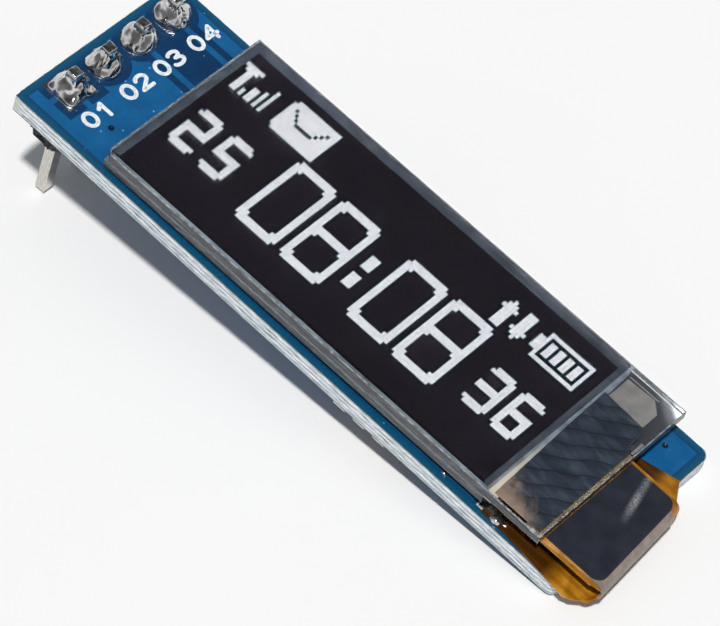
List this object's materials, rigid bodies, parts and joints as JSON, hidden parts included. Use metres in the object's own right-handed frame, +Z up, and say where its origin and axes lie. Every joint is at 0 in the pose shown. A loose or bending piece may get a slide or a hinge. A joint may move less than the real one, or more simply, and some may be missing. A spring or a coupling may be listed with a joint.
{
  "type": "small oled module",
  "caption": "Small display module: a blue circuit board with a taped-on rectangular display panel, its folded flex tail at one end and a soldered pin header at the other.",
  "frame": {"origin": "middle of the footprint on the table: the module lies on its pin tips and on the far bottom edge of its board, and Z = 0 is the table", "axes": "+X from the header end to the flex end, +Y across the board towards the last pin, +Z up; the board leans 12 degrees down towards +X and the display 11"},
  "size_m": [0.04, 0.0123, 0.0103],
  "materials": {
    "laminate": "layered fibreglass laminate, cut edge showing",
    "copper": "thin copper foil, seen through the solder mask",
    "solder_mask": "glossy blue lacquer, translucent over the copper",
    "tinned": "tinned metal, satin",
    "solder": "bright solder, smooth and slightly rippled",
    "pin_metal": "plated square pin, satin, tinned at its upper end",
    "black_plastic": "moulded plastic, slightly glossy",
    "foam_tape": "soft foam tape",
    "glass": "clear polished glass with ground edges",
    "drying_sheet": "chalky sheet",
    "resin": "cured clear resin, creamy where thick",
    "organic_layers": "dark thin layers, mirror smooth",
    "lit_dots": "glowing dots",
    "polarizer": "smoky film, very smooth",
    "metal_film": "thin sputtered metal, satin",
    "silicon": "bare silicon, mirror smooth",
    "black_tape": "thin black adhesive tape, satin, slightly wrinkled",
    "bonding_film": "cured adhesive film",
    "polyimide": "amber film with copper lines inside, satin",
    "stiff_film": "greyish backing film, matte",
    "moulded_body": "moulded epoxy, matte",
    "capacitor_ceramic": "fired ceramic, matte",
    "resistor_ceramic": "glazed top film, satin"
  },
  "bodies": {
    "root": {"circuit_board": "laminate", "front_copper": "copper", "front_mask": "solder_mask", "back_copper": "copper", "back_mask": "solder_mask", "pin_pads": "tinned", "header_housing": "black_plastic", "header_pin_1": "pin_metal", "header_pin_2": "pin_metal", "header_pin_3": "pin_metal", "header_pin_4": "pin_metal", "solder_joint_1": "solder", "solder_joint_2": "solder", "solder_joint_3": "solder", "solder_joint_4": "solder", "mounting_tape": "foam_tape", "cap_glass": "glass", "drying_sheet": "drying_sheet", "seal_frame": "resin", "oled_layers": "organic_layers", "lit_picture": "lit_dots", "substrate_glass": "glass", "polarizer": "polarizer", "ledge_metal": "metal_film", "driver_chip": "silicon", "ledge_tape": "black_tape", "bond_film": "bonding_film", "flex_tail": "polyimide", "bend_film": "stiff_film", "flex_tape": "black_tape", "flex_solder": "solder", "regulator_body": "moulded_body", "regulator_leads": "tinned", "capacitor_1": "capacitor_ceramic", "capacitor_2": "capacitor_ceramic", "capacitor_3": "capacitor_ceramic", "capacitor_4": "capacitor_ceramic", "capacitor_5": "capacitor_ceramic", "capacitor_6": "capacitor_ceramic", "capacitor_ends": "tinned", "resistor_1": "resistor_ceramic", "resistor_2": "resistor_ceramic", "resistor_3": "resistor_ceramic", "resistor_4": "resistor_ceramic", "resistor_5": "resistor_ceramic", "resistor_ends": "tinned", "part_solder": "solder"}
  },
  "joints": []
}
